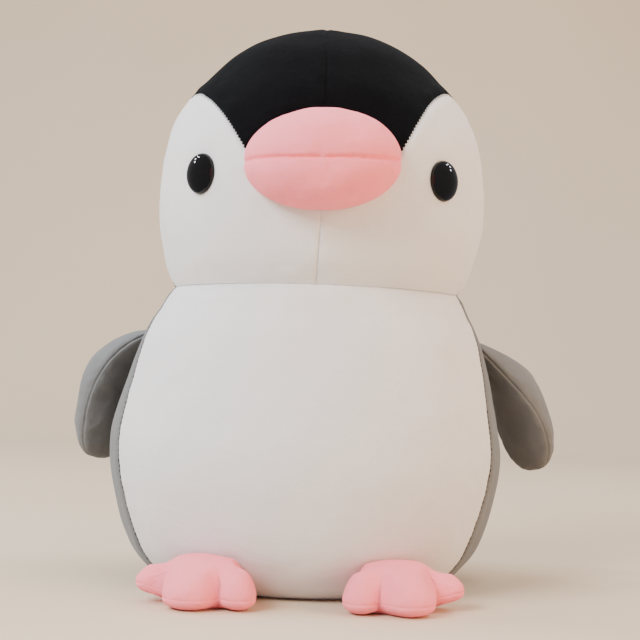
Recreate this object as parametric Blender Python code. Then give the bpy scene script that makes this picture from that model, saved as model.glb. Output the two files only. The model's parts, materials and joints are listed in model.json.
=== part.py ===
"""Plush penguin, 450 mm tall: sewn fabric panels over loose fibre filling.

Units are metres and +Z is up.  The penguin faces -Y and sits on its flat base
panel with the origin at the middle of that panel.  "left" and "right" are the
penguin's own sides, so left is +X.

The head and the body are two filled lobes joined at the neck seam.  Each lobe is
one grid of points (rows climb the profile, columns go round it); every fabric
panel is a set of that grid's cells given the thickness of the cloth, so panels
meet along their seams and lie evenly over the filling below.
"""

import math

import bmesh
import bpy
from mathutils import Matrix, Vector

# ---------------------------------------------------------------- dimensions
CLOTH = 0.0016            # thickness of the short-pile cloth
SEAM_GAP = 0.0004         # clearance left between neighbouring panels
FILL_GAP = 0.0004         # clearance between the cloth and the filling

NECK_HEIGHT = 0.235
HEAD_DEPTH = 0.90         # depth of the head over its width
BODY_DEPTH = 0.87         # depth of the body over its width

# Profile of the lobes: half width against height, from the base to the neck
# and from the neck to the crown.
BODY_PROFILE = (
    (0.1000, 0.0000), (0.1130, 0.0035), (0.1260, 0.0120), (0.1415, 0.0320),
    (0.1535, 0.0680), (0.1585, 0.1060), (0.1515, 0.1470), (0.1365, 0.1960),
    (0.1240, 0.2200), (0.1155, 0.2350),
)
HEAD_PROFILE = (
    (0.1155, 0.2350), (0.1240, 0.2550), (0.1305, 0.2830), (0.1320, 0.3100),
    (0.1295, 0.3390), (0.1230, 0.3630), (0.1120, 0.3840), (0.0960, 0.4035),
    (0.0740, 0.4245), (0.0420, 0.4410), (0.0000, 0.4500),
)

# Side seam between the white belly and the grey back: (height, degrees from front).
SIDE_SEAM = ((0.000, 60.0), (0.035, 63.0), (0.106, 66.0), (0.150, 70.0), (0.235, 80.0))
# Seam between the white face and the back of the hood, from the neck to the peak.
CHEEK_SEAM = ((0.235, 84.0), (0.280, 97.0), (0.340, 94.0), (0.394, 76.0))
PEAK_HEIGHT = 0.394       # top of the white cheek
BROW_HEIGHT = 0.334       # hood edge where it runs under the beak
BEAK_CORNER = 0.27        # share of the cheek width covered by the beak

BODY_ROWS = 11
BELLY_CELLS = 12          # columns of the belly, side seam to side seam
BACK_CELLS = 8            # columns of each back panel
FACE_ROWS = 5
BROW_ROWS = 2
CROWN_ROWS = 4
FACE_CELLS = 8
HOOD_BACK_CELLS = 6

BEAK_HALF_WIDTH = 0.0575
BEAK_HALF_HEIGHT = 0.0375
BEAK_HEIGHT = 0.3275      # height of the beak's seam
BEAK_TIP_Y = -0.160
BEAK_ANGLES = 12          # columns of half a beak
BEAK_RISE = (0.0, 14.0, 32.0, 52.0, 72.0, 90.0)

EYE_RADIUS = 0.0140
EYE_BULGE = 0.0120
EYE_AZIMUTH = 45.0
EYE_HEIGHT = 0.320
EYE_STEM_RADIUS = 0.0030
EYE_STEM_LENGTH = 0.0150
WASHER_RADIUS = 0.0100
WASHER_THICKNESS = 0.0020
WASHER_DEPTH = 0.0040     # washer's near face below the outside of the cloth
FIT = 0.0005              # play round the stem and in the washer's pocket

WING_AZIMUTH = 106.0      # where the wings are sewn, degrees from the front
WING_YAW = 20.0           # turn of the root's front edge outward
WING_TWIST = 22.0         # further turn gained by the tip
WING_HEIGHT = 0.198
WING_STANDOFF = 0.0025
WING_LENGTH = 0.115
WING_HALF_CHORD = 0.0295
WING_OUTER_BULGE = 0.0175
WING_INNER_BULGE = 0.0070
WING_BOW = 0.0110         # how far the middle plane bows away from the body
WING_HANG_LEFT = 30.0     # degrees out from hanging straight down
WING_HANG_RIGHT = 25.0
WING_POINTS = 24

FOOT_X = 0.062            # middle of the sewn rear edge
FOOT_Y = -0.0945
FOOT_SEAM_Z = 0.0090
FOOT_TOE_OUT = 20.0
FOOT_PALM_LENGTH = 0.0240
FOOT_PALM_REACH = 0.0330  # the palm's reach forward, between the toes
FOOT_PALM_WIDTH = 0.0310
FOOT_RISE = 0.0290        # height of the foot's crown above its seam
FOOT_CROWN = 0.039        # distance of that crown from the rear edge
# Toes: distance forward of the rear edge, sideways (outward), radius.
TOES = ((0.0350, 0.0365, 0.0125), (0.0520, 0.0, 0.0160), (0.0370, -0.0310, 0.0145))
FOOT_POINTS = 32

# ---------------------------------------------------------------- materials
COLOURS = {
    "white_cloth": ((0.86, 0.85, 0.84), 0.92),
    "black_cloth": ((0.012, 0.012, 0.014), 0.90),
    "grey_cloth": ((0.30, 0.31, 0.32), 0.92),
    "pink_cloth": ((0.90, 0.50, 0.55), 0.90),
    "fibre_fill": ((0.92, 0.92, 0.90), 1.00),
    "black_plastic": ((0.006, 0.006, 0.007), 0.08),
    "white_plastic": ((0.80, 0.80, 0.78), 0.50),
}


def material(name):
    """Return the named plain material, made on first use."""
    found = bpy.data.materials.get(name)
    if found:
        return found
    colour, rough = COLOURS[name]
    made = bpy.data.materials.new(name)
    made.use_nodes = True
    shader = made.node_tree.nodes["Principled BSDF"]
    shader.inputs["Base Color"].default_value = (*colour, 1.0)
    shader.inputs["Roughness"].default_value = rough
    shader.inputs["Metallic"].default_value = 0.0
    return made


def add_object(name, verts, faces, slot, parent=None, smooth=True):
    """Make one closed mesh object; with a parent, its origin is the parent's."""
    base = parent.location if parent else Vector((0.0, 0.0, 0.0))
    mesh = bpy.data.meshes.new(name)
    mesh.from_pydata([Vector(v) - base for v in verts], [], faces)
    mesh.validate()
    work = bmesh.new()
    work.from_mesh(mesh)
    bmesh.ops.recalc_face_normals(work, faces=work.faces)
    if work.calc_volume(signed=True) < 0.0:
        bmesh.ops.reverse_faces(work, faces=work.faces)
    for face in work.faces:
        face.smooth = smooth
    work.to_mesh(mesh)
    work.free()
    mesh.materials.append(material(slot))
    item = bpy.data.objects.new(name, mesh)
    bpy.context.collection.objects.link(item)
    if parent:
        item.parent = parent
    return item


def add_axis(name, place):
    """Make an empty that stands on a joint's axis."""
    axis = bpy.data.objects.new(name, None)
    axis.empty_display_size = 0.02
    axis.location = place
    bpy.context.collection.objects.link(axis)
    return axis


def stepwise(table, value):
    """Read a (height, amount) table with straight lines between its rows."""
    if value <= table[0][0]:
        return table[0][1]
    for (x0, y0), (x1, y1) in zip(table, table[1:]):
        if value <= x1:
            return y0 + (y1 - y0) * (value - x0) / (x1 - x0)
    return table[-1][1]


# ---------------------------------------------------------------- the lobes
class Lobe:
    """A filled lobe: a smooth profile swept round an elliptical section."""

    def __init__(self, profile, depth, steps=16):
        self.depth = depth
        ends = (profile[0], *profile, profile[-1])
        curve = []
        for k in range(1, len(ends) - 2):
            p0, p1, p2, p3 = ends[k - 1], ends[k], ends[k + 1], ends[k + 2]
            for n in range(steps):
                curve.append(self.spline(p0, p1, p2, p3, n / steps))
        curve.append(profile[-1])
        self.curve = curve
        self.travel = [0.0]
        for (r0, z0), (r1, z1) in zip(curve, curve[1:]):
            self.travel.append(self.travel[-1] + math.hypot(r1 - r0, z1 - z0))

    @staticmethod
    def spline(p0, p1, p2, p3, t):
        """Catmull-Rom point between p1 and p2."""
        out = []
        for a, b, c, d in zip(p0, p1, p2, p3):
            out.append(
                0.5 * (2 * b + (c - a) * t + (2 * a - 5 * b + 4 * c - d) * t * t
                       + (3 * b - a - 3 * c + d) * t ** 3)
            )
        return out

    def profile_at(self, v, inset=0.0):
        """Half width and height at share v of the profile, moved inward."""
        reach = min(max(v, 0.0), 1.0) * self.travel[-1]
        k = 0
        while k < len(self.travel) - 2 and self.travel[k + 1] < reach:
            k += 1
        span = self.travel[k + 1] - self.travel[k]
        t = (reach - self.travel[k]) / span
        (r0, z0), (r1, z1) = self.curve[k], self.curve[k + 1]
        radius = r0 + (r1 - r0) * t
        height = z0 + (z1 - z0) * t
        if inset:
            radius -= inset * (z1 - z0) / span
            height += inset * (r1 - r0) / span
        return max(radius, 0.0), height

    def point(self, v, degrees, inset=0.0):
        """Point of the surface at a height share and an angle from the front."""
        radius, height = self.profile_at(v, inset)
        turn = math.radians(degrees)
        return Vector((radius * math.sin(turn), -self.depth * radius * math.cos(turn), height))

    def share_at(self, height):
        """Share of the profile at which the surface reaches a height."""
        low, high = 0.0, 1.0
        for _ in range(40):
            mid = (low + high) / 2
            if self.profile_at(mid)[1] < height:
                low = mid
            else:
                high = mid
        return low

    def front_y(self, x, height):
        """Y of the front of the surface at a place seen from the front."""
        radius = self.profile_at(self.share_at(height))[0]
        return -self.depth * math.sqrt(max(radius * radius - x * x, 0.0))


def body_grid(lobe):
    """Rows of (share, degrees) round the body, from the front's left side seam."""
    rows = []
    for i in range(BODY_ROWS + 1):
        v = i / BODY_ROWS
        seam = stepwise(SIDE_SEAM, lobe.profile_at(v)[1])
        belly = [seam * (1.0 - 2.0 * j / BELLY_CELLS) for j in range(BELLY_CELLS)]
        right = [-seam - (180.0 - seam) * j / BACK_CELLS for j in range(BACK_CELLS)]
        left = [180.0 - (180.0 - seam) * j / BACK_CELLS for j in range(BACK_CELLS)]
        rows.append([(v, turn) for turn in belly + right + left])
    return rows


def brow_share(lobe, share):
    """Profile share of the hood's front edge across the width of a cheek."""
    low = lobe.share_at(BROW_HEIGHT)
    high = lobe.share_at(PEAK_HEIGHT)
    rise = max(share - BEAK_CORNER, 0.0) / (1.0 - BEAK_CORNER)
    return low + (high - low) * (1.0 - (1.0 - rise) ** (3.05 - 1.2 * rise))


def head_grid(lobe):
    """Rows of (share, degrees) round the head, from the left cheek's rear seam."""
    peak = lobe.share_at(PEAK_HEIGHT)
    front_rows = FACE_ROWS + BROW_ROWS
    rows = []
    for i in range(front_rows + CROWN_ROWS):
        half = []
        crown = peak + (1.0 - peak) * (i - front_rows) / CROWN_ROWS
        for j in range(FACE_CELLS + 1):
            across = j / FACE_CELLS
            edge = brow_share(lobe, across)
            if i <= FACE_ROWS:
                v = edge * i / FACE_ROWS
            elif i <= front_rows:
                v = edge + (peak - edge) * (i - FACE_ROWS) / BROW_ROWS
            else:
                v = crown
            seam = stepwise(CHEEK_SEAM, lobe.profile_at(v)[1])
            half.append((v, seam * across))
        tail = []
        for j in range(1, HOOD_BACK_CELLS + 1):
            across = j / HOOD_BACK_CELLS
            cheek = min(i / FACE_ROWS, 1.0)
            v = peak * (cheek + (i / front_rows - cheek) * across)
            if i > front_rows:
                v = crown
            seam = stepwise(CHEEK_SEAM, lobe.profile_at(v)[1])
            tail.append((v, seam + (180.0 - seam) * across))
        left = (half + tail)[::-1]
        right = [(v, -turn) for v, turn in (half + tail)[1:-1]]
        rows.append(left + right)
    return rows


def lobe_vertices(lobe, rows, inset):
    """Points of a whole grid at one depth below the surface."""
    return [[lobe.point(v, turn, inset) for v, turn in row] for row in rows]


def split_cell(a, b, count):
    """Two triangles of the grid cell above points a and b, always cut the same way."""
    return [[a, b, b + count], [a, b + count, a + count]]


def merge_points(points, faces):
    """Join points that fall on each other and drop the faces this empties."""
    index = {}
    kept = []
    order = []
    for point in points:
        key = tuple(round(c * 1e6) for c in point)
        if key not in index:
            index[key] = len(kept)
            kept.append(point)
        order.append(index[key])
    clean = []
    for face in faces:
        ring = []
        for k in face:
            if order[k] not in ring:
                ring.append(order[k])
        if len(ring) > 2:
            clean.append(ring)
    return kept, clean


def cloth_panel(name, lobe, rows, cells, slot, pole=None):
    """Give the chosen cells of a lobe's grid the thickness of the cloth."""
    count = len(rows[0])
    outer = [p for row in lobe_vertices(lobe, rows, 0.0) for p in row]
    inner = [p for row in lobe_vertices(lobe, rows, CLOTH) for p in row]
    faces = []
    for i, j in cells:
        k = (j + 1) % count
        if i + 1 < len(rows):
            faces += split_cell(i * count + j, i * count + k, count)
        else:
            faces.append([i * count + j, i * count + k, len(outer)])
    if pole is not None:
        outer.append(lobe.point(1.0, 0.0, 0.0))
        inner.append(lobe.point(1.0, 0.0, CLOTH))
    outer_kept, outer_faces = merge_points(outer, faces)
    index = {tuple(round(c * 1e6) for c in p): n for n, p in enumerate(outer_kept)}
    below = [None] * len(outer_kept)
    for p, q in zip(outer, inner):
        below[index[tuple(round(c * 1e6) for c in p)]] = q

    edges = {}
    for face in outer_faces:
        for a, b in zip(face, face[1:] + face[:1]):
            edges[(a, b)] = edges.get((a, b), 0) + 1
    rim = [edge for edge in edges if (edge[1], edge[0]) not in edges]
    pull = {}
    rim_points = {k for edge in rim for k in edge}
    for face in outer_faces:
        centre = sum((outer_kept[k] for k in face), Vector()) / len(face)
        for k in face:
            if k in rim_points:
                pull[k] = pull.get(k, Vector()) + (centre - outer_kept[k])
    top = list(outer_kept)
    low = list(below)
    for k, way in pull.items():
        step = way.normalized() * (SEAM_GAP / 2)
        top[k] = top[k] + step
        low[k] = low[k] + step
    used = sorted({k for face in outer_faces for k in face})
    place = {k: n for n, k in enumerate(used)}
    verts = [top[k] for k in used] + [low[k] for k in used]
    half = len(used)
    solid = []
    for face in outer_faces:
        solid.append([place[k] for k in face])
        solid.append([place[k] + half for k in reversed(face)])
    for a, b in rim:
        solid.append([place[b], place[a], place[a] + half, place[b] + half])
    return add_object(name, verts, solid, slot)


def filling(name, lobe, rows, floor, roof):
    """Close a lobe's grid, set in below the cloth, into one solid."""
    inset = CLOTH + FILL_GAP
    grid = lobe_vertices(lobe, rows, inset)
    count = len(rows[0])
    verts = [p for row in grid for p in row]
    faces = []
    for i in range(len(rows) - 1):
        for j in range(count):
            faces += split_cell(i * count + j, i * count + (j + 1) % count, count)
    for row, level in ((0, floor), (len(rows) - 1, roof)):
        start = row * count
        if level is None:
            verts.append(lobe.point(1.0, 0.0, inset))
            tip = len(verts) - 1
            for j in range(count):
                faces.append([start + j, start + (j + 1) % count, tip])
            continue
        ring = len(verts)
        for j in range(count):
            p = verts[start + j]
            verts.append(Vector((p.x * 0.94, p.y * 0.94, level)))
        verts.append(Vector((0.0, 0.0, level)))
        tip = len(verts) - 1
        for j in range(count):
            k = (j + 1) % count
            faces.append([start + j, start + k, ring + k, ring + j])
            faces.append([ring + j, ring + k, tip])
    points, rings = merge_points(verts, faces)
    return add_object(name, points, rings, "fibre_fill")


def build_body(body):
    """Belly, two back panels, base panel and filling of the body lobe."""
    rows = body_grid(body)
    first_right = BELLY_CELLS
    first_left = BELLY_CELLS + BACK_CELLS
    last = first_left + BACK_CELLS
    layout = (
        ("belly_panel", range(first_right), "white_cloth"),
        ("back_panel_right", range(first_right, first_left), "grey_cloth"),
        ("back_panel_left", range(first_left, last), "grey_cloth"),
    )
    for name, columns, slot in layout:
        cells = [(i, j) for i in range(BODY_ROWS) for j in columns]
        cloth_panel(name, body, rows, cells, slot)
    filling("body_filling", body, rows, CLOTH + FILL_GAP, NECK_HEIGHT - SEAM_GAP / 2)

    count = last
    edge = [body.point(0.0, turn) for _, turn in rows[0]]
    scale = 1.0 - SEAM_GAP * 3 / BODY_PROFILE[0][0]
    verts = [Vector((p.x * scale, p.y * scale, 0.0)) for p in edge]
    verts += [Vector((p.x * scale, p.y * scale, CLOTH)) for p in edge]
    verts += [Vector((0.0, 0.0, 0.0)), Vector((0.0, 0.0, CLOTH))]
    faces = []
    for j in range(count):
        k = (j + 1) % count
        faces.append([j, k, 2 * count])
        faces.append([count + k, count + j, 2 * count + 1])
        faces.append([k, j, count + j, count + k])
    add_object("base_panel", verts, faces, "white_cloth", smooth=False)


def build_head(head):
    """Hood halves, face halves and filling of the head lobe."""
    rows = head_grid(head)
    half = FACE_CELLS + HOOD_BACK_CELLS
    front_rows = FACE_ROWS + BROW_ROWS
    for side, start in (("left", 0), ("right", half)):
        if side == "left":
            back = range(0, HOOD_BACK_CELLS)
            cheek = range(HOOD_BACK_CELLS, half)
        else:
            cheek = range(start, start + FACE_CELLS)
            back = range(start + FACE_CELLS, 2 * half)
        face = [(i, j) for i in range(FACE_ROWS) for j in cheek]
        hood = [(i, j) for i in range(front_rows) for j in back]
        hood += [(i, j) for i in range(FACE_ROWS, front_rows) for j in cheek]
        whole = list(cheek) + list(back)
        hood += [(i, j) for i in range(front_rows, front_rows + CROWN_ROWS) for j in whole]
        cloth_panel("face_panel_" + side, head, rows, face, "white_cloth")
        cloth_panel("hood_panel_" + side, head, rows, hood, "black_cloth", pole=True)
    filling("head_filling", head, rows, NECK_HEIGHT + SEAM_GAP / 2, None)


# ---------------------------------------------------------------- beak
def beak_point(head, turn, rise, inset):
    """Point of the beak: turn goes round it, rise climbs from its rim to its tip."""
    across = (BEAK_HALF_WIDTH - inset) * math.cos(turn)
    up = (BEAK_HALF_HEIGHT - inset) * math.sin(turn)
    rim = head.front_y(across, BEAK_HEIGHT + up) - SEAM_GAP
    reach = BEAK_TIP_Y + inset
    lift = math.sin(rise)
    shrink = math.cos(rise)
    return Vector((across * shrink, rim + (reach - rim) * lift, BEAK_HEIGHT + up * shrink))


def build_beak(head):
    """Upper and lower covers of the beak and the filling between them."""
    rises = [math.radians(r) for r in BEAK_RISE]
    for name, start, lift in (("beak_upper", 0.0, 1.0), ("beak_lower", math.pi, -1.0)):
        verts = []
        for inset in (0.0, CLOTH):
            for rise in rises[:-1]:
                for j in range(BEAK_ANGLES + 1):
                    p = beak_point(head, start + math.pi * j / BEAK_ANGLES, rise, inset)
                    p.z += lift * SEAM_GAP / 2
                    verts.append(p)
            tip = beak_point(head, start, rises[-1], inset)
            tip.z += lift * SEAM_GAP / 2
            verts.append(tip)
        wide = BEAK_ANGLES + 1
        layer = wide * (len(rises) - 1) + 1
        faces = []
        for i in range(len(rises) - 2):
            for j in range(BEAK_ANGLES):
                a = i * wide + j
                faces.append([a, a + 1, a + 1 + wide, a + wide])
        last = (len(rises) - 2) * wide
        for j in range(BEAK_ANGLES):
            faces.append([last + j, last + j + 1, layer - 1])
        solid = list(faces) + [[k + layer for k in reversed(face)] for face in faces]
        rim = list(range(wide))
        right = [i * wide + wide - 1 for i in range(1, len(rises) - 1)] + [layer - 1]
        left = [i * wide for i in range(len(rises) - 2, 0, -1)]
        loop = rim + right + left
        for a, b in zip(loop, loop[1:] + loop[:1]):
            solid.append([b, a, a + layer, b + layer])
        add_object(name, verts, solid, "pink_cloth")

    inset = CLOTH + FILL_GAP
    wide = 2 * BEAK_ANGLES
    turns = [2 * math.pi * j / wide for j in range(wide)]
    verts = []
    for rise in rises[:-1]:
        verts += [beak_point(head, turn, rise, inset) for turn in turns]
    verts.append(beak_point(head, 0.0, rises[-1], inset))
    tip = len(verts) - 1
    faces = []
    for i in range(len(rises) - 2):
        for j in range(wide):
            k = (j + 1) % wide
            faces.append([i * wide + j, i * wide + k, (i + 1) * wide + k, (i + 1) * wide + j])
    last = (len(rises) - 2) * wide
    faces += [[last + j, last + (j + 1) % wide, tip] for j in range(wide)]
    ring = list(range(wide))
    for share in (0.66, 0.33):
        start = len(verts)
        for turn in turns:
            across = (BEAK_HALF_WIDTH - inset) * math.cos(turn) * share
            height = BEAK_HEIGHT + (BEAK_HALF_HEIGHT - inset) * math.sin(turn) * share
            verts.append(Vector((across, head.front_y(across, height) - SEAM_GAP, height)))
        faces += [[ring[j], ring[(j + 1) % wide], start + (j + 1) % wide, start + j]
                  for j in range(wide)]
        ring = list(range(start, start + wide))
    verts.append(Vector((0.0, head.front_y(0.0, BEAK_HEIGHT) - SEAM_GAP, BEAK_HEIGHT)))
    faces += [[ring[j], ring[(j + 1) % wide], len(verts) - 1] for j in range(wide)]
    add_object("beak_filling", verts, faces, "fibre_fill")


# ---------------------------------------------------------------- eyes
def turned(name, profile, slot, place, sides=24):
    """Revolve a (radius, height) profile about local Z and put it in place."""
    verts = []
    rings = []
    for radius, height in profile:
        if radius < 1e-6:
            rings.append([len(verts)])
            verts.append(place @ Vector((0.0, 0.0, height)))
            continue
        rings.append(list(range(len(verts), len(verts) + sides)))
        for n in range(sides):
            turn = 2 * math.pi * n / sides
            spot = Vector((radius * math.cos(turn), radius * math.sin(turn), height))
            verts.append(place @ spot)
    closed = len(rings[0]) > 1
    faces = []
    pairs = list(zip(rings, rings[1:]))
    if closed:
        pairs.append((rings[-1], rings[0]))
    for low, high in pairs:
        for n in range(sides):
            m = (n + 1) % sides
            if len(low) == 1:
                faces.append([low[0], high[m], high[n]])
            elif len(high) == 1:
                faces.append([low[n], low[m], high[0]])
            else:
                faces.append([low[n], low[m], high[m], high[n]])
    return add_object(name, verts, faces, slot)


def cut(item, cutter):
    """Subtract a cutter from a solid and remove the cutter."""
    change = item.modifiers.new("cut", "BOOLEAN")
    change.operation = "DIFFERENCE"
    change.solver = "EXACT"
    change.object = cutter
    graph = bpy.context.evaluated_depsgraph_get()
    result = bpy.data.meshes.new_from_object(item.evaluated_get(graph))
    item.modifiers.clear()
    old = item.data
    item.data = result
    bpy.data.meshes.remove(old)
    bpy.data.objects.remove(cutter, do_unlink=True)


def build_eyes(head):
    """Two domed safety eyes whose stems pass through the face into a washer."""
    stuffing = bpy.data.objects["head_filling"]
    for side, sign in (("left", 1.0), ("right", -1.0)):
        v = head.share_at(EYE_HEIGHT)
        spot = head.point(v, sign * EYE_AZIMUTH)
        step = 0.002
        across = head.point(v, sign * (EYE_AZIMUTH + 0.5)) - head.point(v, sign * (EYE_AZIMUTH - 0.5))
        along = head.point(v + step, sign * EYE_AZIMUTH) - head.point(v - step, sign * EYE_AZIMUTH)
        normal = across.cross(along).normalized()
        if normal.dot(spot - Vector((0.0, 0.0, EYE_HEIGHT))) < 0.0:
            normal = -normal
        turn = normal.to_track_quat("Z", "Y").to_matrix().to_4x4()
        place = Matrix.Translation(spot) @ turn
        base = FILL_GAP
        dome = [(0.0, base + EYE_BULGE)]
        for n in range(1, 6):
            angle = math.pi / 2 * n / 6
            dome.append((EYE_RADIUS * math.sin(angle), base + EYE_BULGE * math.cos(angle)))
        dome += [
            (EYE_RADIUS, base + 0.0012),
            (EYE_RADIUS - 0.0006, base),
            (EYE_STEM_RADIUS, base),
            (EYE_STEM_RADIUS, base - EYE_STEM_LENGTH),
            (0.0, base - EYE_STEM_LENGTH),
        ]
        turned("eye_" + side, dome, "black_plastic", place)
        hole = EYE_STEM_RADIUS + FIT
        near = -WASHER_DEPTH
        far = near - WASHER_THICKNESS
        washer = [(hole, far), (WASHER_RADIUS, far), (WASHER_RADIUS, near), (hole, near)]
        turned("eye_washer_" + side, washer, "white_plastic", place)

        through = [(0.0, -0.006), (hole, -0.006), (hole, 0.006), (0.0, 0.006)]
        cut(bpy.data.objects["face_panel_" + side],
            turned("cutter", through, "white_plastic", place, sides=16))
        pocket = WASHER_RADIUS + FIT
        room = far - FIT
        end = base - EYE_STEM_LENGTH - FIT
        well = [(0.0, end), (hole, end), (hole, room), (pocket, room), (pocket, 0.006), (0.0, 0.006)]
        cut(stuffing, turned("cutter", well, "white_plastic", place, sides=24))


# ---------------------------------------------------------------- padded leaves
def dome_layer(outline, centre, scales, heights):
    """Rings of an outline drawn in towards its centre, with one last point."""
    verts = []
    for scale, height in zip(scales, heights):
        for p in outline:
            q = centre + (p - centre) * scale
            verts.append(Vector((q.x, q.y, height(q))))
    verts.append(Vector((centre.x, centre.y, heights[-1](centre))))
    return verts


def dome_faces(count, rings, start):
    """Faces of a dome layer whose points begin at an index."""
    faces = []
    for i in range(rings - 1):
        for j in range(count):
            a = start + i * count
            faces += split_cell(a + j, a + (j + 1) % count, count)
    last = start + (rings - 1) * count
    faces += [[last + j, last + (j + 1) % count, last + count] for j in range(count)]
    return faces


def inset_outline(outline, centre, amount):
    """Move each point of an outline towards its centre by a length."""
    moved = []
    for p in outline:
        way = p - centre
        moved.append(centre + way * (1.0 - amount / way.length))
    return moved


def unchanged(p):
    """Leave a local point where it is."""
    return p


def wing_twist(p):
    """Turn a wing's local point about its length, more towards the tip."""
    turn = math.radians(WING_TWIST) * p.x / WING_LENGTH
    return Vector((
        p.x,
        p.y * math.cos(turn) - p.z * math.sin(turn),
        p.y * math.sin(turn) + p.z * math.cos(turn),
    ))


def padded_cover(name, outline, centre, scales, outer, inner, place, slot, parent,
                 bend=unchanged):
    """One side of a padded shape: two domes of cloth joined round the seam."""
    inside = inset_outline(outline, centre, CLOTH)
    verts = dome_layer(outline, centre, scales, outer)
    layer = len(verts)
    verts += dome_layer(inside, centre, scales, inner)
    count = len(outline)
    faces = dome_faces(count, len(scales), 0)
    faces += [list(reversed(face)) for face in dome_faces(count, len(scales), layer)]
    for j in range(count):
        k = (j + 1) % count
        faces.append([k, j, layer + j, layer + k])
    return add_object(name, [place @ bend(v) for v in verts], faces, slot, parent)


def padded_filling(name, outline, centre, scales, upper, lower, place, parent,
                   bend=unchanged):
    """The filling between the two sides of a padded shape."""
    inside = inset_outline(outline, centre, CLOTH + FILL_GAP)
    count = len(outline)
    top = dome_layer(inside, centre, scales, upper)
    low = dome_layer(inside, centre, scales, lower)
    layer = len(top)
    faces = dome_faces(count, len(scales), 0)
    faces += [list(reversed(face)) for face in dome_faces(count, len(scales), layer)]
    for j in range(count):
        k = (j + 1) % count
        faces.append([k, j, layer + j, layer + k])
    verts = [place @ bend(v) for v in top + low]
    return add_object(name, verts, faces, "fibre_fill", parent)


def wing_outline():
    """Leaf outline: x runs from the root to the tip and y across the chord."""
    points = []
    for n in range(WING_POINTS):
        turn = 2 * math.pi * n / WING_POINTS
        along = 0.5 - 0.5 * math.cos(turn)
        spread = 0.60 + 0.40 * math.sin(math.pi / 2 * min(along / 0.60, 1.0))
        chord = WING_HALF_CHORD * spread * abs(math.sin(turn)) ** 0.72
        side = 1.0 if turn < math.pi else -1.0
        points.append(Vector((along * WING_LENGTH, side * chord)))
    return points


def build_wing(body, side, sign, hang):
    """One wing: outer cover, inner cover and filling, hung from the back panel."""
    yaw = math.radians(WING_YAW)
    outward = Vector((sign * math.cos(yaw), math.sin(yaw), 0.0))
    forward = Vector((sign * math.sin(yaw), -math.cos(yaw), 0.0))
    root = body.point(body.share_at(WING_HEIGHT), sign * WING_AZIMUTH) + outward * WING_STANDOFF
    lean = math.radians(hang)
    along = Vector((0.0, 0.0, -math.cos(lean))) + outward * math.sin(lean)
    normal = outward * math.cos(lean) + Vector((0.0, 0.0, math.sin(lean)))
    place = Matrix.Translation(root) @ Matrix(
        ((along.x, forward.x, normal.x), (along.y, forward.y, normal.y),
         (along.z, forward.z, normal.z))
    ).to_4x4()
    axis = add_axis("wing_axis_" + side, root)
    outline = wing_outline()
    centre = Vector((WING_LENGTH * 0.52, 0.0))
    scales = (1.0, 0.93, 0.78, 0.55, 0.28)

    def surface(bulge, scale, offset):
        rise = math.sqrt(max(1.0 - scale * scale, 0.0))

        def height(p):
            bow = WING_BOW * (1.0 - (1.0 - p.x / WING_LENGTH) ** 4)
            return bow + offset + bulge * rise
        return height

    half = SEAM_GAP / 2
    for label, flip, bulge in (("outer", 1.0, WING_OUTER_BULGE), ("inner", -1.0, WING_INNER_BULGE)):
        outer = [surface(flip * bulge, s, flip * half) for s in scales]
        inner = [surface(flip * (bulge - CLOTH), s, flip * half) for s in scales]
        padded_cover("wing_%s_%s" % (side, label), outline, centre, scales, outer, inner,
                     place, "grey_cloth", axis, wing_twist)
    slack = CLOTH + FILL_GAP
    upper = [surface(WING_OUTER_BULGE - slack, s, half) for s in scales]
    lower = [surface(-(WING_INNER_BULGE - slack), s, -half) for s in scales]
    padded_filling("wing_%s_filling" % side, outline, centre, scales, upper, lower,
                   place, axis, wing_twist)


# ---------------------------------------------------------------- feet
def foot_outline():
    """Three-toed outline: x runs forward from the rear edge and y outward."""
    centre = Vector((FOOT_PALM_LENGTH, 0.0))
    points = []
    for n in range(FOOT_POINTS):
        turn = 2 * math.pi * n / FOOT_POINTS
        way = Vector((math.cos(turn), math.sin(turn)))
        length = FOOT_PALM_REACH if way.x > 0.0 else FOOT_PALM_LENGTH
        palm = 1.0 / math.hypot(way.x / length, way.y / FOOT_PALM_WIDTH)
        reach = palm ** 9
        for forward, aside, radius in TOES:
            toe = Vector((forward, aside)) - centre
            near = way.dot(toe)
            miss = toe.length_squared - near * near
            if near > 0.0 and miss < radius * radius:
                reach += (near + math.sqrt(radius * radius - miss)) ** 9
        points.append(centre + way * reach ** (1.0 / 9.0))
    return points, centre


def foot_rise(p):
    """Height of the foot's top above its seam, by distance from the rear edge."""
    if p.x < FOOT_CROWN:
        return FOOT_RISE * max((p.x + 0.003) / (FOOT_CROWN + 0.003), 0.08)
    return FOOT_RISE * (1.0 - 0.30 * ((p.x - FOOT_CROWN) / 0.030) ** 2)


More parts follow.
